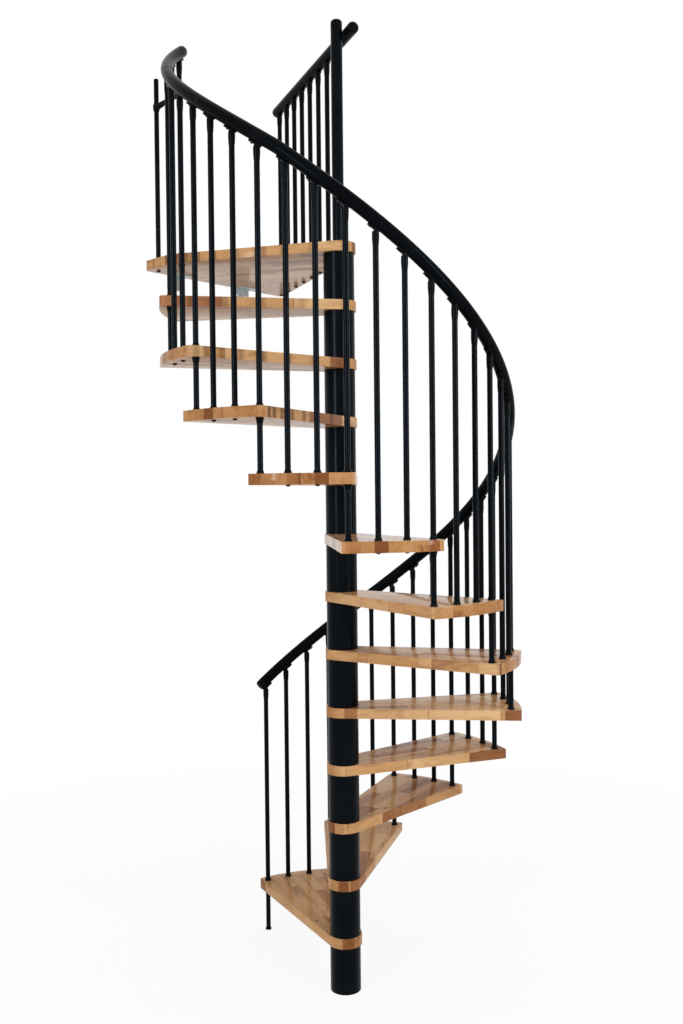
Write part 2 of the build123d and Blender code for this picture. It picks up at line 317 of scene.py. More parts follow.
def move_to(piece, place):
    """Put a piece at a place and keep that place in its mesh."""
    piece.matrix_world = place
    apply_place(piece)
    return piece


def use_modifier(piece, kind, **settings):
    """Add a modifier with settings and apply it."""
    choose(piece)
    modifier = piece.modifiers.new(kind.lower(), kind)
    for setting, value in settings.items():
        setattr(modifier, setting, value)
    bpy.ops.object.modifier_apply(modifier=modifier.name)


def round_edges(piece, width, segments=3, angle=35):
    """Round the sharp edges of a piece."""
    use_modifier(piece, "BEVEL", width=width, segments=segments, limit_method="ANGLE",
                 angle_limit=radians(angle), harden_normals=False)


def smooth(piece):
    choose(piece)
    bpy.ops.object.shade_smooth_by_angle(angle=SMOOTH_ANGLE)


def cut(piece, point, normal):
    """Cut a piece with a plane, drop what lies on the normal's side and close the cut."""
    enter_edit(piece, "FACE")
    bpy.ops.mesh.select_all(action="SELECT")
    bpy.ops.mesh.bisect(plane_co=point, plane_no=normal, use_fill=True, clear_outer=True)
    leave_edit()


def turned(name, stations, sides=ROUND_SIDES):
    """Upright turned piece through stations of height and radius, lowest first."""
    (low, low_radius), (high, high_radius) = stations[:2]
    deselect()
    bpy.ops.mesh.primitive_cone_add(vertices=sides, radius1=low_radius, radius2=high_radius,
                                    depth=high - low, location=(0, 0, (low + high) / 2))
    piece = active()
    piece.name = name
    apply_place(piece)
    enter_edit(piece, "FACE")
    pick_faces(piece, lambda middle, normal: normal.z > 0.99 and abs(middle.z - high) < 1e-5)
    for height, radius in stations[2:]:
        ratio = radius / high_radius
        bpy.ops.mesh.extrude_region_move(TRANSFORM_OT_translate={"value": (0, 0, height - high)})
        bpy.ops.transform.resize(value=(ratio, ratio, 1), center_override=(0, 0, height))
        high, high_radius = height, radius
    leave_edit()
    smooth(piece)
    return piece


def block(name, size, middle):
    """Cube of a size about a middle."""
    deselect()
    bpy.ops.mesh.primitive_cube_add(size=1, location=middle)
    piece = active()
    piece.name = name
    piece.scale = size
    apply_place(piece)
    return piece


def join(name, pieces):
    """Join pieces into one with its origin at the frame's origin."""
    choose(*pieces)
    if len(pieces) > 1:
        bpy.ops.object.join()
    piece = active()
    piece.name = name
    piece.data.name = name
    apply_place(piece)
    return piece


def copies(name, model, places):
    """One piece made of copies of a model at the places; the model goes."""
    made = []
    for place in places:
        copy = model.copy()
        copy.data = model.data.copy()
        bpy.context.scene.collection.objects.link(copy)
        copy.matrix_world = place
        made.append(copy)
    bpy.data.objects.remove(model)
    return join(name, made)


def finish_piece(piece, material, slot, *nodes):
    """Give a piece its material and its body, and hide the nodes that it stands for; the slot is
    not used.
    """
    piece.data.materials.clear()
    piece.data.materials.append(material)
    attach(piece, "root")
    if nodes:
        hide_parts(*nodes)
    return piece


# Materials


def new_material(name):
    """Material with its node tree, shader and links ready."""
    material = bpy.data.materials.new(name)
    material.use_nodes = True
    tree = material.node_tree
    return material, tree, tree.nodes["Principled BSDF"]


def add_node(tree, kind, **settings):
    node = tree.nodes.new(kind)
    for setting, value in settings.items():
        setattr(node, setting, value)
    return node


def plug_in(tree, socket, value):
    """Link a node's output to a socket, or set the socket's own value."""
    if isinstance(value, (int, float, tuple)):
        socket.default_value = value
    else:
        tree.links.new(value, socket)


def calculate(tree, operation, *values):
    """Math node on its inputs."""
    node = add_node(tree, "ShaderNodeMath", operation=operation)
    for socket, value in zip(node.inputs, values):
        plug_in(tree, socket, value)
    return node.outputs[0]


def noise(tree, vector, scale, detail=4.0, roughness=0.5, distortion=0.0):
    """Fractal noise on a vector."""
    node = add_node(tree, "ShaderNodeTexNoise")
    tree.links.new(vector, node.inputs["Vector"])
    node.inputs["Scale"].default_value = scale
    node.inputs["Detail"].default_value = detail
    node.inputs["Roughness"].default_value = roughness
    node.inputs["Distortion"].default_value = distortion
    return node.outputs["Fac"]


def stretch(tree, vector, scale):
    """Vector stretched along its axes."""
    node = add_node(tree, "ShaderNodeMapping")
    tree.links.new(vector, node.inputs["Vector"])
    node.inputs["Scale"].default_value = scale
    return node.outputs["Vector"]


def ramp(tree, factor, *stops):
    """Colour ramp from stops of place and colour."""
    node = add_node(tree, "ShaderNodeValToRGB")
    tree.links.new(factor, node.inputs["Fac"])
    elements = node.color_ramp.elements
    while len(elements) < len(stops):
        elements.new(0.5)
    for element, (place, colour) in zip(elements, stops):
        element.position = place
        element.color = (*colour, 1)
    return node.outputs["Color"]


def mix_colour(tree, factor, first, second, blend="MIX"):
    """Colour mixed from two; the node's colour sockets are the third of its four kinds."""
    node = add_node(tree, "ShaderNodeMix", data_type="RGBA", blend_type=blend)
    plug_in(tree, node.inputs["Factor"], factor)
    for socket, value in zip(node.inputs[6:8], (first, second)):
        plug_in(tree, socket, value)
    return node.outputs[2]


def fit_range(tree, value, low, high, new_low, new_high):
    """Value mapped from one range to another and kept inside it."""
    node = add_node(tree, "ShaderNodeMapRange")
    for socket, number in zip(node.inputs[1:5], (low, high, new_low, new_high)):
        socket.default_value = number
    tree.links.new(value, node.inputs[0])
    return node.outputs[0]


def bump(tree, height, distance):
    """Normal of a surface raised by a height times a distance in metres."""
    node = add_node(tree, "ShaderNodeBump")
    node.inputs["Distance"].default_value = distance
    tree.links.new(height, node.inputs["Height"])
    return node.outputs["Normal"]


def coated_material(name, dark, light, roughness, spread, grain_scale, sheen):
    """Black finish with a fine grain, faint clouds of tone and uneven gloss."""
    material, tree, shader = new_material(name)
    place = add_node(tree, "ShaderNodeTexCoord").outputs["Object"]
    clouds = noise(tree, place, 9.0, 5.0)
    grain = noise(tree, place, grain_scale, 2.0)
    rubs = noise(tree, stretch(tree, place, (60.0, 60.0, 9.0)), 1.0, 6.0, 0.65)
    colour = ramp(tree, clouds, (0.3, dark), (0.75, light))
    rubbed = calculate(tree, "MULTIPLY", fit_range(tree, rubs, 0.62, 0.8, 0.0, 1.0), 0.35)
    rubbed_tone = (*[tone * RUBBED_LIGHTER for tone in light], 1)
    tree.links.new(mix_colour(tree, rubbed, colour, rubbed_tone), shader.inputs["Base Color"])
    gloss = fit_range(tree, rubs, 0.3, 0.75, roughness - spread, roughness + spread)
    tree.links.new(gloss, shader.inputs["Roughness"])
    tree.links.new(bump(tree, grain, BLACK_GRAIN_DEPTH), shader.inputs["Normal"])
    shader.inputs["Specular IOR Level"].default_value = sheen
    shader.inputs["Specular Tint"].default_value = BLACK_SHEEN_TINT
    return material


def steel_material():
    """Black powder coat of the column, pole and balusters."""
    return coated_material("black_powder_coat", (0.0016, 0.0020, 0.0027),
                           (0.0030, 0.0038, 0.0050), roughness=0.24, spread=0.04,
                           grain_scale=1400.0, sheen=0.06)


def rail_material():
    """Black handrail with a satin skin."""
    return coated_material("black_rail_skin", (0.0020, 0.0023, 0.0028),
                           (0.0045, 0.0050, 0.0058), roughness=0.22, spread=0.04,
                           grain_scale=900.0, sheen=0.018)


def plastic_material():
    """Moulded black plastic of the heads, feet, collars and plugs."""
    return coated_material("black_moulded_plastic", (0.0020, 0.0023, 0.0027),
                           (0.0045, 0.0050, 0.0056), roughness=0.30, spread=0.05,
                           grain_scale=1800.0, sheen=0.045)


def zinc_material():
    """Zinc plated sheet with spangle and handling marks."""
    material, tree, shader = new_material("zinc_plate")
    place = add_node(tree, "ShaderNodeTexCoord").outputs["Object"]
    spangle = add_node(tree, "ShaderNodeTexVoronoi", feature="F1")
    tree.links.new(place, spangle.inputs["Vector"])
    spangle.inputs["Scale"].default_value = 130.0
    tone = mix_colour(tree, 0.35, spangle.outputs["Color"], (0.5, 0.5, 0.5, 1))
    grey = add_node(tree, "ShaderNodeRGBToBW")
    tree.links.new(tone, grey.inputs["Color"])
    colour = ramp(tree, grey.outputs["Val"], (0.25, (0.36, 0.42, 0.42)), (0.75, (0.56, 0.62, 0.62)))
    tree.links.new(colour, shader.inputs["Base Color"])
    smudges = noise(tree, place, 40.0, 6.0, 0.6)
    tree.links.new(fit_range(tree, smudges, 0.3, 0.7, 0.32, 0.52), shader.inputs["Roughness"])
    tree.links.new(bump(tree, smudges, ZINC_GRAIN_DEPTH), shader.inputs["Normal"])
    shader.inputs["Metallic"].default_value = 0.85
    return material


def random_number(tree, value):
    """Random number from a whole number."""
    node = add_node(tree, "ShaderNodeTexWhiteNoise", noise_dimensions="1D")
    tree.links.new(value, node.inputs["W"])
    return node.outputs["Value"]


def wood_material():
    """Varnished beech staves, glued side by side and end to end, some with brown heartwood."""
    material, tree, shader = new_material("varnished_beech_staves")
    board = add_node(tree, "ShaderNodeAttribute", attribute_name="board_place").outputs["Vector"]
    split = add_node(tree, "ShaderNodeSeparateXYZ")
    tree.links.new(board, split.inputs[0])
    along, across = split.outputs[:2]

    # One random number for each row of staves, and one for each stave in it
    row_place = calculate(tree, "DIVIDE", across, STAVE_WIDTH)
    row = calculate(tree, "FLOOR", row_place)
    row_random = random_number(tree, calculate(tree, "MULTIPLY", row, 7.31))
    length = fit_range(tree, row_random, 0.0, 1.0, 1.25 / STAVE_LENGTH, 0.8 / STAVE_LENGTH)
    shifted = calculate(tree, "ADD", calculate(tree, "MULTIPLY", along, length),
                        calculate(tree, "MULTIPLY", row_random, 13.7))
    stave = calculate(tree, "FLOOR", shifted)
    stave_seed = calculate(tree, "ADD", calculate(tree, "MULTIPLY", row, 31.7),
                           calculate(tree, "MULTIPLY", stave, 5.13))
    stave_random = random_number(tree, stave_seed)
    second_random = random_number(tree, calculate(tree, "ADD", stave_seed, 0.37))

    # Tones of the staves
    tone = ramp(tree, stave_random,
                (0.0, (0.76, 0.47, 0.235)), (0.22, (0.68, 0.385, 0.175)),
                (0.45, (0.60, 0.310, 0.130)), (0.62, (0.72, 0.425, 0.205)),
                (0.74, (0.52, 0.255, 0.105)), (0.86, (0.30, 0.120, 0.050)),
                (1.0, (0.43, 0.185, 0.080)))

    # Grain: long fibres and growth rings that differ from stave to stave
    shift = add_node(tree, "ShaderNodeCombineXYZ")
    for socket, factor in zip(shift.inputs, (3.0, 1.7, 0.9)):
        tree.links.new(calculate(tree, "MULTIPLY", stave_random, factor), socket)
    moved = add_node(tree, "ShaderNodeVectorMath", operation="ADD")
    tree.links.new(board, moved.inputs[0])
    tree.links.new(shift.outputs[0], moved.inputs[1])
    place = moved.outputs[0]
    rings = noise(tree, stretch(tree, place, (2.4, 34.0, 30.0)), 1.0, 4.0, 0.55, 0.4)
    fibres = noise(tree, stretch(tree, place, (14.0, 420.0, 420.0)), 1.0, 3.0, 0.6)
    pores = noise(tree, stretch(tree, place, (90.0, 900.0, 900.0)), 1.0, 2.0, 0.5)
    streaks = noise(tree, stretch(tree, place, (3.2, 16.0, 16.0)), 1.0, 5.0, 0.6, 0.8)
    ring_tone = ramp(tree, rings, (0.36, (0.80, 0.76, 0.72)), (0.5, (1.0, 1.0, 1.0)),
                     (0.66, (0.87, 0.84, 0.80)))
    colour = mix_colour(tree, 1.0, tone, ring_tone, "MULTIPLY")
    fibre_tone = ramp(tree, fibres, (0.35, (0.86, 0.84, 0.82)), (0.6, (1.0, 1.0, 1.0)))
    colour = mix_colour(tree, 0.8, colour, fibre_tone, "MULTIPLY")
    pore_tone = fit_range(tree, pores, 0.66, 0.74, 0.0, 0.5)
    colour = mix_colour(tree, pore_tone, colour, PORE)

    # Brown heartwood streaks on about a third of the staves
    heart = calculate(tree, "MULTIPLY", fit_range(tree, streaks, 0.52, 0.64, 0.0, 1.0),
                      fit_range(tree, second_random, 0.6, 0.75, 0.0, 0.75))
    colour = mix_colour(tree, heart, colour, HEARTWOOD)

    # Small knots with a dark heart, here and there
    knots = add_node(tree, "ShaderNodeTexVoronoi", feature="F1", voronoi_dimensions="2D")
    tree.links.new(stretch(tree, place, (5.0, 9.0, 9.0)), knots.inputs["Vector"])
    knots.inputs["Scale"].default_value = 1.0
    knot = calculate(tree, "MULTIPLY",
                     fit_range(tree, knots.outputs["Distance"], 0.03, 0.11, 1.0, 0.0),
                     fit_range(tree, second_random, 0.25, 0.30, 0.85, 0.0))
    colour = mix_colour(tree, knot, colour, KNOT)

    # Glue lines between the staves
    row_edge = calculate(tree, "PINGPONG", row_place, 0.5)
    end_edge = calculate(tree, "PINGPONG", shifted, 0.5)
    row_line = fit_range(tree, row_edge, 0.0, 0.016, 1.0, 0.0)
    end_line = fit_range(tree, end_edge, 0.0, 0.0028, 1.0, 0.0)
    glue = calculate(tree, "MAXIMUM", row_line, end_line)
    colour = mix_colour(tree, calculate(tree, "MULTIPLY", glue, 0.45), colour, GLUE)

    # End grain at the hubs and the outer edges soaks up more varnish
    end_grain = add_node(tree, "ShaderNodeAttribute", attribute_name="end_grain").outputs["Fac"]
    soaked = calculate(tree, "MULTIPLY", end_grain, 0.85)
    colour = mix_colour(tree, soaked, colour, mix_colour(tree, 1.0, colour, SOAKED, "MULTIPLY"))

    tree.links.new(colour, shader.inputs["Base Color"])
    clouds = noise(tree, place, 14.0, 4.0)
    tree.links.new(fit_range(tree, clouds, 0.3, 0.7, 0.24, 0.36), shader.inputs["Roughness"])
    relief = calculate(tree, "SUBTRACT", calculate(tree, "MULTIPLY", fibres, 0.4),
                       calculate(tree, "ADD", glue, pore_tone))
    tree.links.new(bump(tree, relief, WOOD_GRAIN_DEPTH), shader.inputs["Normal"])
    shader.inputs["Specular IOR Level"].default_value = 0.01
    shader.inputs["Coat Weight"].default_value = 0.6
    shader.inputs["Coat IOR"].default_value = 1.15
    shader.inputs["Coat Roughness"].default_value = 0.10
    return material


STEEL = steel_material()
RAIL = rail_material()
PLASTIC = plastic_material()
ZINC = zinc_material()
WOOD = wood_material()


# Camera, floor and light


def camera():
    """Camera at the photograph's view, rolled a little as the photograph is."""
    data = bpy.data.cameras.new("camera")
    data.sensor_width = SENSOR
    data.lens = FOCAL_PIXELS * SENSOR / PHOTO_HEIGHT
    view = bpy.data.objects.new("camera", data)
    bpy.context.scene.collection.objects.link(view)
    turn = Matrix.Rotation(radians(CAMERA_YAW), 4, "Z")
    tilt = Matrix.Rotation(radians(90 - CAMERA_PITCH), 4, "X")
    roll = Matrix.Rotation(radians(-CAMERA_ROLL), 4, "Z")
    view.matrix_world = Matrix.Translation((0, -CAMERA_AWAY, CAMERA_HEIGHT)) @ turn @ tilt @ roll
    bpy.context.scene.camera = view


def background_rays(tree):
    """One for camera, glossy and transmission rays, which see the plain white background."""
    path = add_node(tree, "ShaderNodeLightPath")
    seen = calculate(tree, "MAXIMUM", path.outputs["Is Camera Ray"], path.outputs["Is Glossy Ray"])
    return calculate(tree, "MAXIMUM", seen, path.outputs["Is Transmission Ray"])


def show_white(tree, surface, share):
    """Mix in a share of plain white for the camera and for clear reflections."""
    white = add_node(tree, "ShaderNodeEmission")
    white.inputs["Strength"].default_value = 1.0
    mix = add_node(tree, "ShaderNodeMixShader")
    tree.links.new(calculate(tree, "MULTIPLY", background_rays(tree), share), mix.inputs[0])
    tree.links.new(surface, mix.inputs[1])
    tree.links.new(white.outputs[0], mix.inputs[2])
    return mix.outputs[0]


def floor():
    """Pale floor that keeps the stair's soft shadow."""
    deselect()
    bpy.ops.mesh.primitive_plane_add(size=FLOOR_SIZE, location=(0, 0, 0))
    plane = active()
    plane.name = "studio_floor"
    apply_place(plane)
    material, tree, shader = new_material("studio_floor")
    shader.inputs["Base Color"].default_value = PALE_GREY
    shader.inputs["Roughness"].default_value = 0.9
    place = add_node(tree, "ShaderNodeTexCoord").outputs["Object"]
    away = add_node(tree, "ShaderNodeVectorMath", operation="LENGTH")
    tree.links.new(place, away.inputs[0])
    share = fit_range(tree, away.outputs["Value"], 0.6, 4.0, 0.90, 1.0)
    output = tree.nodes["Material Output"]
    tree.links.new(show_white(tree, shader.outputs[0], share), output.inputs["Surface"])
    plane.data.materials.append(material)


def lamp(name, place, aim, size, power, colour=(1, 1, 1)):
    """Soft rectangular lamp aimed at a point."""
    data = bpy.data.lights.new(name, "AREA")
    data.shape = "RECTANGLE"
    data.size, data.size_y = size
    data.energy = power
    data.color = colour
    light = bpy.data.objects.new(name, data)
    bpy.context.scene.collection.objects.link(light)
    light.location = place
    light.rotation_euler = (Vector(aim) - Vector(place)).to_track_quat("-Z", "Y").to_euler()
    light.visible_camera = False


def world():
    """Even pale light from all round, seen as plain white."""
    sky = bpy.data.worlds.new("studio")
    bpy.context.scene.world = sky
    sky.use_nodes = True
    tree = sky.node_tree
    background = tree.nodes["Background"]
    background.inputs["Color"].default_value = WHITE
    background.inputs["Strength"].default_value = WORLD_STRENGTH
    white = add_node(tree, "ShaderNodeBackground")
    white.inputs["Color"].default_value = WHITE
    mix = add_node(tree, "ShaderNodeMixShader")
    tree.links.new(background_rays(tree), mix.inputs[0])
    tree.links.new(background.outputs[0], mix.inputs[1])
    tree.links.new(white.outputs[0], mix.inputs[2])
    tree.links.new(mix.outputs[0], tree.nodes["World Output"].inputs[0])


def lights():
    """Tall strips at both front sides and a soft box over the stair."""
    lamp("left_strip", (-2.6, -3.4, 2.9), (0, 0, 2.2), STRIP_SIZE, 85, COOL_LIGHT)
    lamp("right_strip", (2.9, -2.4, 2.9), (0, 0, 2.2), STRIP_SIZE, 80, COOL_LIGHT)
    lamp("top_box", (0, -0.4, 6.2), (0, 0, 1.0), BOX_SIZE, 15)


bpy.context.scene.view_settings.view_transform = "Standard"
camera()
world()
lights()
floor()


# Column and pole


def column():
    """Steel tubes between the boards; all but the first are alike."""
    tubes = []
    lengths = [(0.0, FIRST_RISE - THICKNESS)]
    lengths += [(tread_top(number), RISE - THICKNESS) for number in range(1, TREADS + 1)]
    for bottom, length in lengths:
        tube = turned("tube", [(bottom, COLUMN_RADIUS), (bottom + length, COLUMN_RADIUS)], 96)
        enter_edit(tube, "FACE")
        pick_faces(tube, lambda middle, normal: abs(normal.z) > 0.99)
        bpy.ops.mesh.inset(thickness=COLUMN_WALL, use_even_offset=True)
        bpy.ops.mesh.bridge_edge_loops()
        leave_edit()
        round_edges(tube, TUBE_ROUNDING, 2, 60)
        tubes.append(tube)
    piece = join("column_tubes_round", tubes)
    smooth(piece)
    finish_piece(piece, STEEL, "black_steel", "column_tubes")


def pole():
    """Pole that rises past the landing beside its rail, with a rounded plug on top."""
    bar = turned("pole_round", [(BASE_PLATE_THICKNESS, POLE_RADIUS), (POLE_TOP, POLE_RADIUS)], 64)
    finish_piece(bar, STEEL, "black_steel", "centre_pole")
    plug = end_plug("pole_plug", POLE_RADIUS)
    move_to(plug, Matrix.Translation((0, 0, POLE_TOP)))
    finish_piece(plug, PLASTIC, "black_plastic", "pole_cap")


def end_plug(name, radius, rim=CAP_RIM, rounding=CAP_ROUNDING, steps=7):
    """Plug on a round end: a short rim, a fine groove at its seat and a rounded edge."""
    seat = radius - CAP_GROOVE
    stations = [(0.0, seat), (0.0006, seat), (0.0012, radius)]
    for step in range(steps + 1):
        turn = radians(90 * step / steps)
        stations.append((rim + rounding * sin(turn), radius - rounding * (1 - cos(turn))))
    return turned(name, stations, 48)


# Boards


def tangent_angle(corner, side):
    """Angle on the hub where the tangent from a corner touches it, on the given side."""
    reach = hypot(corner.x, corner.y)
    return degrees(atan2(corner.y, corner.x)) + side * degrees(acos(HUB_RADIUS / reach))


def board(name, start_shape, corners, arc_edge, rounding):
    """Board cut from a round or square slab by its straight sides, with its hub added."""
    hub_start = polar(HUB_RADIUS, tangent_angle(corners[0], 1))
    hub_end = polar(HUB_RADIUS, tangent_angle(corners[-1], -1))
    outline = [hub_start, *corners, hub_end]
    piece = start_shape
    for first, second in zip(outline, outline[1:] + outline[:1]):
        if arc_edge and first == corners[0]:
            continue
        way = second - first
        cut(piece, first, (-way.y, way.x, 0))
    enter_edit(piece, "EDGE")
    near = rounding / 2
    pick_edges(piece, lambda a, b: abs(a.z - b.z) > THICKNESS / 2
               and any((Vector((a.x, a.y, 0)) - corner).length < near for corner in corners))
    bpy.ops.mesh.bevel(offset=rounding, segments=10)
    leave_edit()
    deselect()
    bpy.ops.mesh.primitive_cylinder_add(vertices=HUB_SIDES, radius=HUB_RADIUS, depth=THICKNESS,
                                        location=(0, 0, THICKNESS / 2))
    hub = active()
    apply_place(hub)
    use_modifier(piece, "BOOLEAN", operation="UNION", solver="EXACT", object=hub)
    bpy.data.objects.remove(hub)
    round_edges(piece, BOARD_EDGE_ROUNDING, 3, 40)
    smooth(piece)
    piece.name = name
    piece.data.name = name
    return piece


def mark_board(piece, along_angle, top, offset):
    """Store each point's place in its own board, and how much each face is end grain."""
    place = piece.data.attributes.new("board_place", "FLOAT_VECTOR", "POINT")
    turn = Matrix.Rotation(radians(-along_angle), 3, "Z")
    for vertex, item in zip(piece.data.vertices, place.data):
        point = turn @ vertex.co
        item.vector = (point.x + offset[0], point.y + offset[1], point.z - top)
    end_grain = piece.data.attributes.new("end_grain", "FLOAT", "FACE")
    along = polar(1, along_angle)
    for face, item in zip(piece.data.polygons, end_grain.data):
        item.value = abs(face.normal.dot(along)) ** 2


def round_slab(radius):
    """Round slab of the boards' thickness, standing on the plane."""
    deselect()
    bpy.ops.mesh.primitive_cylinder_add(vertices=SLAB_SIDES, radius=radius, depth=THICKNESS,
                                        location=(0, 0, THICKNESS / 2))
    slab = active()
    apply_place(slab)
    return slab


def treads():
    """Twelve treads from one model, each with its own run of staves."""
    back = -BALUSTERS_PER_TREAD * STEP_ANGLE
    corners = [polar(TREAD_EDGE, CORNER_ANGLE), polar(TREAD_EDGE, back - CORNER_ANGLE)]
    model = board("tread_model", round_slab(TREAD_EDGE), corners, True, TREAD_CORNER_ROUNDING)
    for number in range(1, TREADS + 1):
        nosing = baluster_angle((number - 1) * BALUSTERS_PER_TREAD)
        tread = model.copy()
        tread.data = model.data.copy()
        bpy.context.scene.collection.objects.link(tread)
        move_to(tread, upright(Vector((0, 0, tread_top(number) - THICKNESS)), nosing))
        tread.name = f"tread_{number:02d}_board"
        tread.data.name = tread.name
        middle = nosing + back / 2
        mark_board(tread, middle, tread_top(number), (number * 1.37, number * 0.613))
        finish_piece(tread, WOOD, "oiled_hardwood", f"tread_{number:02d}")
    bpy.data.objects.remove(model)


EDGE_NORMAL = polar(1, LANDING_FACING)
EDGE_ALONG = polar(1, LANDING_FACING - 90)
RAIL_CORNER = EDGE_NORMAL * LANDING_EDGE + EDGE_ALONG * SIDE_TO_RAIL
STAIR_CORNER = EDGE_NORMAL * LANDING_EDGE - EDGE_ALONG * SIDE_TO_STAIR
NOSING_CORNER = polar(TREAD_EDGE, baluster_angle(LAST) + CORNER_ANGLE)


def landing():
    """Landing board with straight sides."""
    slab = block("slab", (LANDING_SLAB, LANDING_SLAB, THICKNESS), (0, 0, THICKNESS / 2))
    corners = [NOSING_CORNER, STAIR_CORNER, RAIL_CORNER]
    piece = board("landing_board", slab, corners, False, LANDING_CORNER_ROUNDING)
    move_to(piece, Matrix.Translation((0, 0, LANDING_UNDER)))
    mark_board(piece, degrees(atan2(NOSING_CORNER.y, NOSING_CORNER.x)), LANDING_TOP, (3.1, 0.34))
    finish_piece(piece, WOOD, "oiled_hardwood", "landing")


# Balusters with their feet and collars


def foot_model(name):
    """Flared plastic foot round a rod."""
    return turned(name, [
        (0.0, FOOT_RADIUS - 0.0006), (0.0006, FOOT_RADIUS), (0.0030, FOOT_RADIUS),
        (0.0042, FOOT_RADIUS - 0.0006), (0.0065, 0.0120), (0.0088, 0.0112),
        (FOOT_HEIGHT - 0.0006, 0.0109), (FOOT_HEIGHT, 0.0103)], 32)


def cup_model(name):
    """Cup under a nosing, wide at the board and tapering down the rod."""
    return turned(name, [
        (-COLLAR_HEIGHT, 0.0104), (-COLLAR_HEIGHT + 0.0008, COLLAR_LOWER_RADIUS),
        (-0.0100, 0.0120), (-0.0070, 0.0132), (-0.0055, COLLAR_RADIUS),
        (-0.0008, COLLAR_RADIUS), (0.0, COLLAR_RADIUS - 0.0006)], 32)


def rod(bottom, top, point):
    """One baluster's tube."""
    bar = turned("rod", [(bottom, ROD_RADIUS), (top, ROD_RADIUS)], 32)
    return move_to(bar, Matrix.Translation((point.x, point.y, 0)))


def stair_balusters():
    """Long and short balusters, with feet on the boards and cups under the nosings."""
    long_rods, short_rods = [], []
    feet, nosing_rings, cups = [], [], []
    for index in range(LAST + 1):
        step, between = divmod(index, BALUSTERS_PER_TREAD)
        point = baluster_point(index, 0)
        top = sleeve_foot(rail_line(index), rail_slope(index))
        if between:
            bottom = tread_top(step + 1)
            short_rods.append(rod(bottom, top, point))
        else:
            bottom = tread_top(step) if step else 0.0
            long_rods.append(rod(bottom, top, point))
            nosing = Vector((point.x, point.y, tread_top(step + 1)))
            nosing_rings.append(Matrix.Translation(nosing))
            cups.append(Matrix.Translation(nosing - Vector((0, 0, THICKNESS))))
        feet.append(Matrix.Translation((point.x, point.y, bottom)))
    finish_piece(join("long_rods", long_rods), STEEL, "black_steel", "long_balusters")
    finish_piece(join("short_rods", short_rods), STEEL, "black_steel", "short_balusters")
    finish_piece(copies("baluster_feet", foot_model("foot"), feet), PLASTIC, "black_plastic")
    rings = copies("nosing_rings", foot_model("ring"), nosing_rings)
    finish_piece(rings, PLASTIC, "black_plastic", "nosing_collars")
    finish_piece(copies("nosing_cups", cup_model("cup"), cups), PLASTIC, "black_plastic",
                 "nosing_collars")


# Heads that carry the rails


def along_rail(uphill, drop, slope):
    """Place along a sloping rail's axis of a point by its level distance and its drop."""
    return (uphill - drop * sin(slope)) / cos(slope)


def saddle(slope):
    """Strip that hugs the rail's underside, from the neck's back to its reach uphill."""
    radius = RAIL_RADIUS + SADDLE_CLEARANCE
    drop = radius + SADDLE_THICKNESS / 2
    back = along_rail(-SLEEVE_RADIUS, drop, slope)
    reach = along_rail(SADDLE_REACH, drop, slope)
    deselect()
    bpy.ops.mesh.primitive_cylinder_add(vertices=72, radius=radius, depth=reach - back,
                                        end_fill_type="NOTHING", rotation=(0, pi / 2, 0),
                                        location=((reach + back) / 2, 0, 0))
    strip = active()
    strip.name = "saddle"
    apply_place(strip)
    enter_edit(strip, "FACE")
    pick_faces(strip, lambda middle, normal: middle.z > 0 or abs(middle.y) > SADDLE_WIDTH / 2)
    bpy.ops.mesh.delete(type="FACE")
    leave_edit()
    use_modifier(strip, "SOLIDIFY", thickness=SADDLE_THICKNESS, offset=1)
    round_edges(strip, SADDLE_ROUNDING, 2, 40)
    return move_to(strip, Matrix.Rotation(-slope, 4, "Y"))


def saddle_screw(slope):
    """Pan head under the saddle, uphill of the neck."""
    screw = turned("screw", [(-0.0028, 0.0022), (-0.0024, 0.0032), (-0.0014, 0.0040),
                             (0.0004, 0.0042)], 20)
    drop = RAIL_RADIUS + SADDLE_CLEARANCE + SADDLE_THICKNESS
    along = along_rail(SADDLE_SCREW_UPHILL, drop, slope)
    place = Matrix.Rotation(-slope, 4, "Y") @ Matrix.Translation((along, 0, -drop))
    return move_to(screw, place)


def head_model(name, slope):
    """Head about the rail's centre point, its +X uphill: sleeve, shoulder, neck and saddle."""
    sleeve_top = -neck_drop(slope)
    foot = sleeve_top - SLEEVE_LENGTH
    shoulder_top = sleeve_top + SHOULDER_HEIGHT
    neck_side = NECK_LENGTH - SLEEVE_RADIUS
    saddle_foot = sleeve_top + NECK_HEIGHT
    sleeve = turned("sleeve", [
        (foot, ROD_RADIUS + 0.0002), (foot + 0.0006, ROD_RADIUS + 0.0007),
        (foot + 0.0140, SLEEVE_RADIUS - 0.0005), (foot + 0.0180, SLEEVE_RADIUS),
        (shoulder_top, SLEEVE_RADIUS)], 32)
    rise = Vector((SHOULDER_HEIGHT, 0, SLEEVE_RADIUS - neck_side))
    cut(sleeve, (neck_side, 0, shoulder_top), rise)
    round_edges(sleeve, SLEEVE_ROUNDING, 2, 30)
    neck = turned("neck", [(shoulder_top - 0.0015, SLEEVE_RADIUS - 0.0001),
                           (saddle_foot + 0.006, SLEEVE_RADIUS - 0.0001)], 32)
    cut(neck, (neck_side, 0, 0), (1, 0, 0))
    under = Vector((sin(slope), 0, -cos(slope))) * (RAIL_RADIUS + SADDLE_THICKNESS / 2)
    cut(neck, under, (-sin(slope), 0, cos(slope)))
    round_edges(neck, NECK_ROUNDING, 2, 50)
    head = join(name, [sleeve, neck, saddle(slope), saddle_screw(slope)])
    smooth(head)
    return head


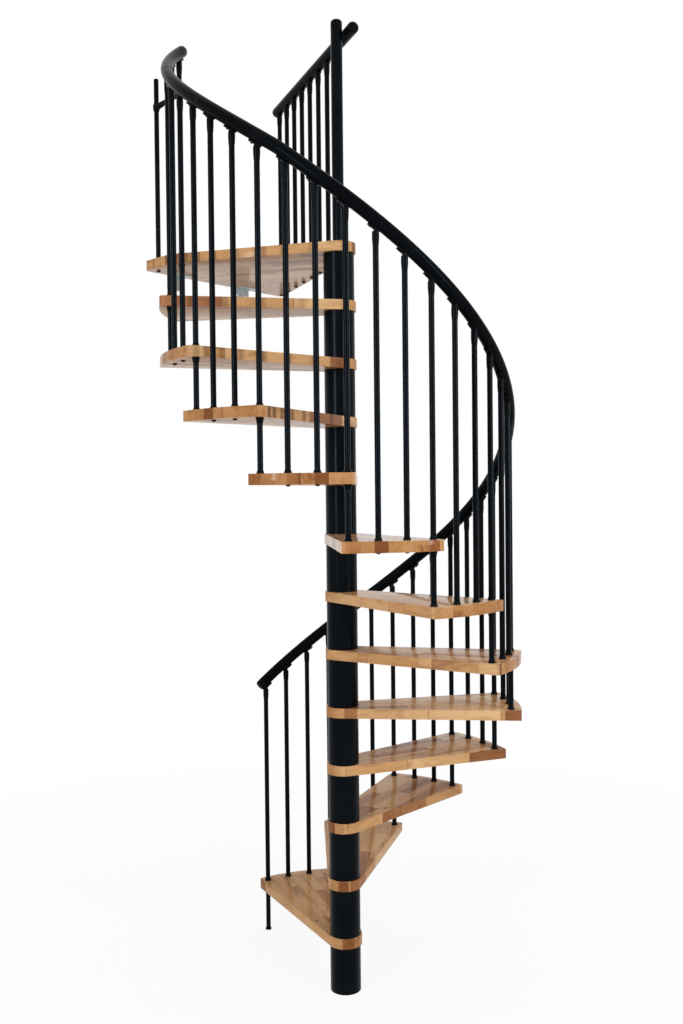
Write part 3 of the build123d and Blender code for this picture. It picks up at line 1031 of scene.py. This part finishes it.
def stair_heads():
    """Heads under the steeper and the flatter part of the stair rail."""
    for name, slope in (("lower", STEEP_SLOPE), ("upper", FLATTER_SLOPE)):
        places = [upright(rail_point(index), baluster_angle(index) - 90)
                  for index in range(LAST + 1) if rail_slope(index) == slope]
        piece = copies(f"{name}_rail_heads", head_model("head", slope), places)
        finish_piece(piece, PLASTIC, "black_plastic", "baluster_heads")


# Handrail


def rail_place(index, outward):
    """Place across the stair rail's end, its Z along the rail uphill or downhill."""
    uphill = rail_way(index, rail_slope(index)) * outward
    inward = polar(1, baluster_angle(index))
    turn = Matrix((inward, uphill.cross(inward), uphill)).transposed().to_4x4()
    return Matrix.Translation(rail_point(index)) @ turn


def rail_segment(start, end):
    """Round rail swept up the helix a little past both of its ends."""
    middle = (start + end) / 2
    slope = rail_slope(middle)
    spare = 0.35
    span = end - start + 2 * spare
    turn = radians(span * STEP_ANGLE)
    rise = span * SPACING * tan(slope)
    low = rail_line(middle) - rise / 2
    deselect()
    bpy.ops.mesh.primitive_circle_add(vertices=RAIL_SIDES, radius=RAIL_RADIUS,
                                      rotation=(pi / 2, 0, 0))
    bar = active()
    bar.name = "rail_segment"
    apply_place(bar)
    enter_edit(bar, "VERT")
    bpy.ops.mesh.select_all(action="SELECT")
    bpy.ops.transform.resize(value=(1, 1, 1 / cos(slope)), center_override=(0, 0, 0))
    bpy.ops.transform.translate(value=(BALUSTER_CIRCLE, 0, 0))
    leave_edit()
    steps = ceil(span * STEP_ANGLE / RAIL_DEGREES_PER_STEP)
    use_modifier(bar, "SCREW", axis="Z", angle=-turn, screw_offset=rise, steps=steps,
                 render_steps=steps, use_merge_vertices=False, use_normal_calculate=True)
    return move_to(bar, upright(Vector((0, 0, low)), baluster_angle(start - spare)))


def handrail():
    """Rail segments cut so that each meets the next at half the bend between them."""
    bars = []
    for number in range(RAIL_SEGMENTS):
        start = RAIL_START + number * SEGMENT_RUN
        end = start + SEGMENT_RUN
        bar = rail_segment(start, end)
        for index, outward in ((start, -1), (end, 1)):
            below, above = (rail_way(index, rail_slope(index + side))
                            for side in (-NEAR_JOINT, NEAR_JOINT))
            normal = (below + above).normalized() * outward
            cut(bar, rail_point(index) - normal * RAIL_JOINT_GAP / 2, normal)
        enter_edit(bar, "FACE")
        bpy.ops.mesh.select_all(action="SELECT")
        bpy.ops.mesh.normals_make_consistent(inside=False)
        leave_edit()
        round_edges(bar, RAIL_ROUNDING, 2, 60)
        bars.append(bar)
    piece = join("stair_rail", bars)
    smooth(piece)
    finish_piece(piece, RAIL, "black_rail", "handrail")


# Landing rail, its balusters and the end post

SIDE_TANGENT = tangent_angle(RAIL_CORNER, -1)
LANDING_DIRECTION = SIDE_TANGENT + 90
LANDING_OFFSET = POLE_RADIUS + RAIL_RADIUS + LANDING_RAIL_CLEARANCE


def landing_line(distance, height=0.0):
    """Point on the landing's baluster line, at a distance from the column's axis."""
    return polar(LANDING_OFFSET, SIDE_TANGENT, height) + polar(distance, LANDING_DIRECTION)


LANDING_PLACES = [LANDING_FIRST + number * LANDING_SPACING for number in range(LANDING_BALUSTERS)]
LANDING_RAIL_FROM = -RAIL_PAST_POLE
LANDING_RAIL_TO = LANDING_PLACES[-1] + RAIL_PAST_BALUSTER


def landing_rail_place(distance, outward):
    """Place across the landing rail, its Z along the rail or back."""
    way = polar(outward, LANDING_DIRECTION)
    turn = way.to_track_quat("Z", "Y").to_matrix().to_4x4()
    return Matrix.Translation(landing_line(distance, LANDING_RAIL_Z)) @ turn


def landing_rail():
    """Level rail beside the pole."""
    length = LANDING_RAIL_TO - LANDING_RAIL_FROM
    bar = turned("landing_rail_round", [(0.0, RAIL_RADIUS), (length, RAIL_RADIUS)], 64)
    move_to(bar, landing_rail_place(LANDING_RAIL_FROM, 1))
    round_edges(bar, RAIL_ROUNDING, 2, 60)
    smooth(bar)
    finish_piece(bar, RAIL, "black_rail", "landing_rail")


def rail_plugs():
    """Plugs on both ends of both rails."""
    places = [rail_place(RAIL_START, -1), rail_place(RAIL_END, 1),
              landing_rail_place(LANDING_RAIL_FROM, -1), landing_rail_place(LANDING_RAIL_TO, 1)]
    piece = copies("rail_plugs", end_plug("plug", RAIL_RADIUS), places)
    finish_piece(piece, PLASTIC, "black_plastic", "rail_end_caps")


def landing_balusters():
    """Balusters under the landing rail, each with its foot and head."""
    rods, feet, heads = [], [], []
    for distance in LANDING_PLACES:
        point = landing_line(distance)
        rods.append(rod(LANDING_TOP, sleeve_foot(LANDING_RAIL_Z, 0), point))
        feet.append(Matrix.Translation((point.x, point.y, LANDING_TOP)))
        heads.append(upright(landing_line(distance, LANDING_RAIL_Z), LANDING_DIRECTION))
    finish_piece(join("landing_rods", rods), STEEL, "black_steel", "landing_balusters")
    finish_piece(copies("landing_feet", foot_model("foot"), feet), PLASTIC, "black_plastic")
    piece = copies("landing_rail_heads", head_model("head", 0.0), heads)
    finish_piece(piece, PLASTIC, "black_plastic", "landing_heads")


FRONT_WAY = (STAIR_CORNER - NOSING_CORNER).normalized()
FRONT_INWARD = Vector((FRONT_WAY.y, -FRONT_WAY.x, 0))
FRONT_COSINE = FRONT_INWARD.dot(-EDGE_NORMAL)
FRONT_SINE = (1 - FRONT_COSINE ** 2) ** 0.5
POST_ALONG = (END_POST_INSET_FRONT - END_POST_INSET_EDGE * FRONT_COSINE) / FRONT_SINE
POST_POINT = STAIR_CORNER - EDGE_NORMAL * END_POST_INSET_EDGE + EDGE_ALONG * POST_ALONG
LAST_POINT = baluster_point(LAST, 0)


def end_post():
    """Post at the landing's open corner with its foot and rounded top."""
    post = rod(LANDING_TOP, END_POST_TOP, POST_POINT)
    post.name = "end_post_rod"
    finish_piece(post, STEEL, "black_steel", "end_post")
    foot = move_to(foot_model("end_post_foot"), Matrix.Translation(
        (POST_POINT.x, POST_POINT.y, LANDING_TOP)))
    finish_piece(foot, PLASTIC, "black_plastic")
    plug = end_plug("end_post_plug", ROD_RADIUS, 0.001, 0.005, 5)
    move_to(plug, Matrix.Translation((POST_POINT.x, POST_POINT.y, END_POST_TOP)))
    finish_piece(plug, PLASTIC, "black_plastic")


def clamp():
    """Two rings with a thick arm that ties the end post to the last long baluster."""
    low = Vector((POST_POINT.x, POST_POINT.y, CLAMP_Z))
    high = Vector((LAST_POINT.x, LAST_POINT.y, CLAMP_Z + CLAMP_RISE))
    half = CLAMP_RING_HEIGHT / 2
    pieces = []
    for centre in (low, high):
        ring = turned("ring", [
            (-half, ROD_RADIUS + 0.0010), (-half + 0.003, ROD_RADIUS + 0.0022),
            (-half / 2, CLAMP_RING_RADIUS - 0.0006), (0.0, CLAMP_RING_RADIUS),
            (half / 2, CLAMP_RING_RADIUS - 0.0006), (half - 0.003, ROD_RADIUS + 0.0022),
            (half, ROD_RADIUS + 0.0010)], 32)
        pieces.append(move_to(ring, Matrix.Translation(centre)))
    way = high - low
    length = way.length
    waist = CLAMP_ARM_RADIUS * CLAMP_ARM_WAIST
    arm = turned("arm", [
        (0.004, CLAMP_ARM_RADIUS), (length * 0.2, CLAMP_ARM_RADIUS * 0.96), (length * 0.5, waist),
        (length * 0.8, CLAMP_ARM_RADIUS * 0.96), (length - 0.004, CLAMP_ARM_RADIUS)], 32)
    turn = way.to_track_quat("Z", "Y").to_matrix().to_4x4()
    pieces.append(move_to(arm, Matrix.Translation(low) @ turn))
    piece = join("end_post_clamp_arm", pieces)
    smooth(piece)
    finish_piece(piece, PLASTIC, "black_plastic", "end_post_clamp")


# Bolts and brackets


def bolt_heads():
    """Bolt heads under the boards, below the short and landing balusters and the end post."""
    bolt = turned("bolt", [(-0.0058, 0.0030), (-0.0052, 0.0052), (-0.0038, 0.0072),
                           (-0.0020, 0.0084), (-0.0008, 0.0088), (0.0, 0.0100)], 24)
    places = []
    for index in range(LAST + 1):
        step, between = divmod(index, BALUSTERS_PER_TREAD)
        if between:
            point = baluster_point(index, tread_top(step + 1) - THICKNESS)
            places.append(Matrix.Translation(point))
    for distance in LANDING_PLACES:
        places.append(Matrix.Translation(landing_line(distance, LANDING_UNDER)))
    places.append(Matrix.Translation((POST_POINT.x, POST_POINT.y, LANDING_UNDER)))
    finish_piece(copies("bolt_heads", bolt, places), PLASTIC, "black_plastic")


def board_screws():
    """Pan heads of the screws that hold the brackets to the landing."""
    screw = turned("board_screw", [(-0.0032, 0.0030), (-0.0028, 0.0048), (-0.0012, 0.0064),
                                   (0.0, 0.0068)], 24)
    middle = (BRACKET_LEG + BRACKET_THICKNESS) / 2
    places = []
    for along in (-BRACKET_SPACING / 2, BRACKET_SPACING / 2):
        for side in (-BRACKET_SCREW_SPACING / 2, BRACKET_SCREW_SPACING / 2):
            point = EDGE_NORMAL * (LANDING_EDGE - middle) + EDGE_ALONG * (along + side)
            point.z = LANDING_UNDER - BRACKET_THICKNESS
            places.append(Matrix.Translation(point))
    finish_piece(copies("bracket_screws", screw, places), ZINC, "zinc_steel")


def dress_nodes():
    """Finishes of the nodes that show as they are."""
    for name, material in (("base_plate", STEEL), ("landing_brackets", ZINC)):
        node = frame["nodes"][name]
        node.data.materials.clear()
        node.data.materials.append(material)


column()
pole()
treads()
landing()
stair_balusters()
stair_heads()
handrail()
landing_rail()
rail_plugs()
landing_balusters()
end_post()
clamp()
bolt_heads()
board_screws()
dress_nodes()
